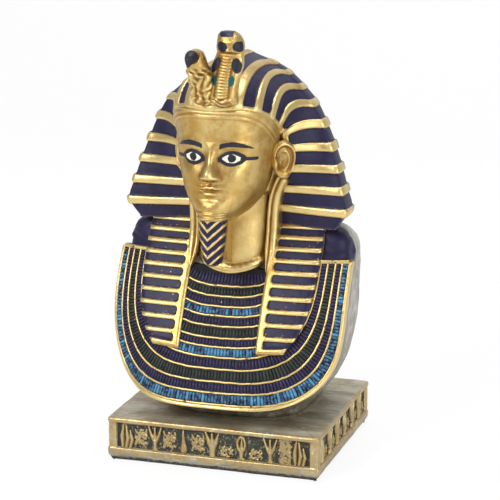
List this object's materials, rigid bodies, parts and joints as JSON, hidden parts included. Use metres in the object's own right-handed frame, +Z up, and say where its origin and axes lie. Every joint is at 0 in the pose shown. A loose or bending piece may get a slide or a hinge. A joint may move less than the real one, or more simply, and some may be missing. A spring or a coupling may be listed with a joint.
{
  "type": "pharaoh bust",
  "caption": "Small painted resin bust of a king in a striped headcloth with brow animals, plaited beard and bead collar, on a low plinth with a plant frieze.",
  "frame": {"origin": "centre of the plinth's flat underside, where the object stands", "axes": "+Z up, +Y towards the back of the bust, +X to the right of someone who faces it"},
  "size_m": [0.082, 0.0785, 0.1484],
  "materials": {
    "bust": "cast resin painted metallic gold and dark blue, with grey painted back",
    "plinth": "cast resin painted dark bronze, its lips and relief rubbed with gold"
  },
  "bodies": {
    "root": {"bust": "bust", "plinth": "plinth"}
  },
  "joints": []
}
